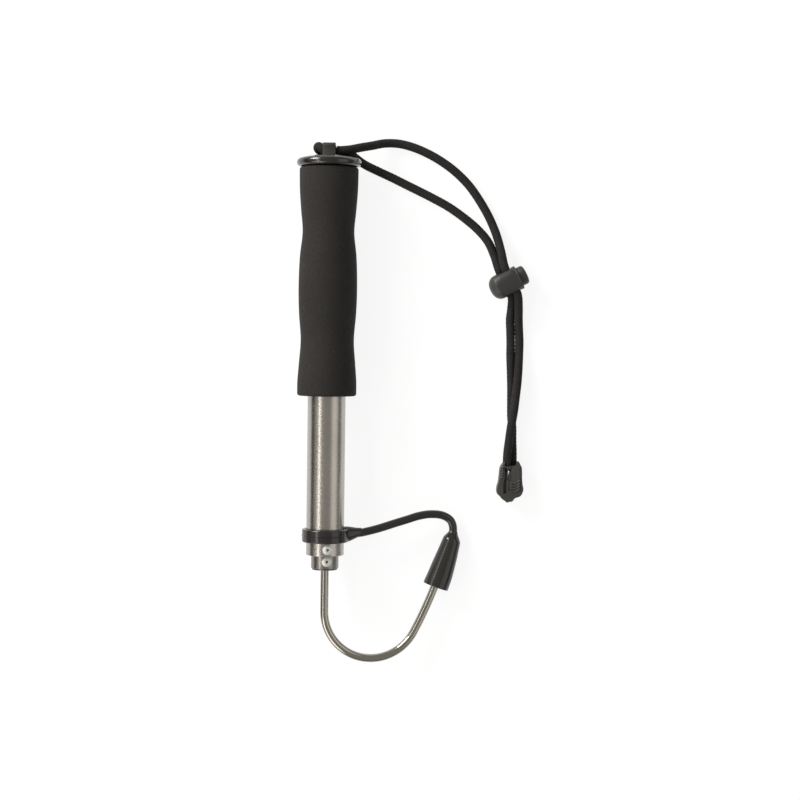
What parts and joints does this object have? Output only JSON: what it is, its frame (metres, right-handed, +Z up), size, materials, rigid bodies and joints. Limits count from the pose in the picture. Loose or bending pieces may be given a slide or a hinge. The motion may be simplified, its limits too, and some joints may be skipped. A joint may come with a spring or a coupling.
{
  "type": "telescopic fishing gaff",
  "caption": "Telescopic steel gaff with a foam grip, a turning hook under a strapped rubber point guard, and an elastic lanyard with a sprung cord lock.",
  "frame": {"origin": "on the surface the gaff lies on, under the middle of the gaff's own box without the lanyard", "axes": "+Y along the tubes toward the end cap, +X toward the side that the hook and lanyard lie on, +Z up"},
  "size_m": [0.1361, 0.3065, 0.0375],
  "materials": {
    "tube_steel": "satin stainless steel, brushed along its length",
    "inner_steel": "darker satin stainless steel",
    "hook_steel": "polished stainless steel rod",
    "rivet_steel": "bright blind rivet",
    "spring_steel": "drawn spring wire",
    "cap_metal": "black anodised, polished",
    "lug_metal": "black coated strip",
    "foam": "matte closed-cell foam",
    "rubber": "smooth moulded black rubber, semi-gloss",
    "nylon": "natural nylon, hidden bearing piece",
    "cord": "black braided sleeve over elastic",
    "lock_plastic": "moulded dark grey nylon",
    "clip_plastic": "moulded dark grey nylon, lightly textured"
  },
  "bodies": {
    "handle": {"end_cap": "cap_metal", "lanyard_lug": "lug_metal", "foam_grip": "foam", "outer_tube": "tube_steel", "guide_bush": "nylon", "mouth_rivet": "rivet_steel", "lanyard_bight": "cord", "upper_strand": "cord", "lower_strand": "cord", "cord_clip_front": "clip_plastic", "cord_clip_back": "clip_plastic"},
    "guard_collar": {"guard_ring": "rubber", "guard_strap": "rubber"},
    "inner_section": {"inner_tube": "inner_steel", "stop_sleeve": "nylon", "shank_plug": "inner_steel", "hook_rivet": "rivet_steel", "hook": "hook_steel"},
    "point_guard": {"guard_sleeve": "rubber"},
    "cord_lock": {"lock_barrel": "lock_plastic", "lock_spring": "spring_steel"},
    "lock_button": {"lock_plunger": "lock_plastic"}
  },
  "joints": [
    {"name": "hook_turn", "type": "hinge", "parent": "handle", "child": "guard_collar", "pos_m": [-0.0303, -0.0762, 0.0188], "axis": [0, 1, 0], "continuous": true},
    {"name": "tube_slide", "type": "slide", "parent": "guard_collar", "child": "inner_section", "axis": [0, -1, 0], "range_m": [0, 0.173], "deforming": ["guard_strap"]},
    {"name": "guard_pull", "type": "slide", "parent": "inner_section", "child": "point_guard", "axis": [0.3366, 0.9397, -0.0604], "range_m": [0, 0.035], "deforming": ["guard_strap"]},
    {"name": "cord_lock_slide", "type": "slide", "parent": "handle", "child": "cord_lock", "axis": [0.0936, -0.9956, 0], "range_m": [0, 0.045], "deforming": ["upper_strand", "lower_strand"]},
    {"name": "lock_press", "type": "slide", "parent": "cord_lock", "child": "lock_button", "axis": [-0.891, -0.454, 0], "range_m": [0, 0.0019], "stiffness_N_per_m": 800, "deforming": ["lock_spring", "upper_strand", "lower_strand"]}
  ]
}
